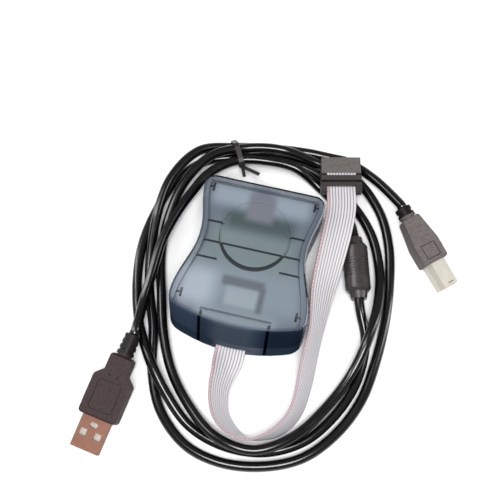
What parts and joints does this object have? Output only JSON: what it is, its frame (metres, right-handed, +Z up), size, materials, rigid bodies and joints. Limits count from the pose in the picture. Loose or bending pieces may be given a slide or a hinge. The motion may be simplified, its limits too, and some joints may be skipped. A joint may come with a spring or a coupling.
{
  "type": "usb microcontroller programmer",
  "caption": "Waisted translucent snap-fit casing over a circuit board, with a flat ribbon lead ending in a socket and a loose USB lead with flat and square plugs.",
  "frame": {"origin": "under the middle of the casing, on the surface it lies on", "axes": "+Z up, +Y towards the rear wall with the square USB socket, +X to the right seen from above with the rear up"},
  "size_m": [0.1407, 0.1514, 0.0223],
  "materials": {
    "smoky_plastic": "translucent gloss",
    "board": "solder mask",
    "socket_steel": "plated",
    "white_plastic": "moulded",
    "gold": "plated",
    "black_plastic": "moulded",
    "socket_black": "moulded",
    "chip_black": "moulded",
    "tin": "plated",
    "crystal_steel": "polished",
    "can_aluminium": "satin",
    "tan_ceramic": "fired",
    "dark_ceramic": "fired",
    "lamp_green": "clear",
    "ribbon_grey": "extruded",
    "rose_metal": "satin plated",
    "grip_brown": "fine grain",
    "cream_metal": "satin plated",
    "grip_grey": "fine grain",
    "ferrite": "sintered",
    "sleeve_black": "moulded",
    "lead_black": "gloss",
    "tie_black": "coated"
  },
  "bodies": {
    "base": {"bottom_shell": "smoky_plastic", "circuit_board": "board", "usb_socket_can": "socket_steel", "usb_socket_tongue": "white_plastic", "usb_socket_contacts": "gold", "box_header": "black_plastic", "header_pins": "gold", "inner_socket_body": "socket_black", "inner_socket_cover": "socket_black", "controller_chip": "chip_black", "chip_leads": "tin", "crystal": "crystal_steel", "regulator": "chip_black", "reservoir_capacitor": "can_aluminium", "chip_capacitors": "tan_ceramic", "chip_resistors": "dark_ceramic", "status_leds": "lamp_green", "ribbon_lead": "ribbon_grey", "outer_socket_body": "socket_black", "outer_socket_cover": "socket_black", "outer_socket_clip": "socket_black", "outer_socket_contacts": "gold", "flat_plug_shell": "rose_metal", "flat_plug_tongue": "white_plastic", "flat_plug_contacts": "gold", "flat_plug_grip": "grip_brown", "square_plug_shell": "cream_metal", "square_plug_core": "white_plastic", "square_plug_contacts": "gold", "square_plug_grip": "grip_grey", "filter_core": "ferrite", "filter_sleeve": "sleeve_black", "usb_lead": "lead_black", "twist_tie": "tie_black"},
    "lid": {"top_shell": "smoky_plastic"}
  },
  "joints": [
    {"name": "lid_lift", "type": "slide", "parent": "base", "child": "lid", "axis": [0, 0, 1], "range_m": [0, 0.04]}
  ]
}
